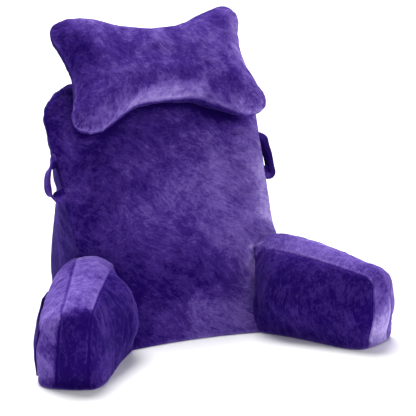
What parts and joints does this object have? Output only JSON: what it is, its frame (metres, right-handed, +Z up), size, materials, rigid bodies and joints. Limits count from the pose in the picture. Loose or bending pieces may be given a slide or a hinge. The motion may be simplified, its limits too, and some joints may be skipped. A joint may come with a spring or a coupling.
{
  "type": "reading pillow with arms",
  "caption": "Filled plush reading pillow with a leaning backrest, splayed arms, a lobed neck pillow resting on its top, side carry loops and a flat pocket on an arm.",
  "frame": {"origin": "on the floor under the backrest, on the plane midway between the two arms", "axes": "+Z up, -Y the side the sitter faces and the arms reach toward, +X toward the arm without the pocket"},
  "size_m": [0.7947, 0.561, 0.6422],
  "materials": {
    "plush": "brushed plush",
    "strap_plush": "brushed plush, folded strap"
  },
  "bodies": {
    "root": {"backrest": "plush", "arm_left": "plush", "arm_right": "plush", "neck_pillow": "plush", "arm_pocket": "plush", "handle_left": "strap_plush", "handle_right": "strap_plush"}
  },
  "joints": []
}
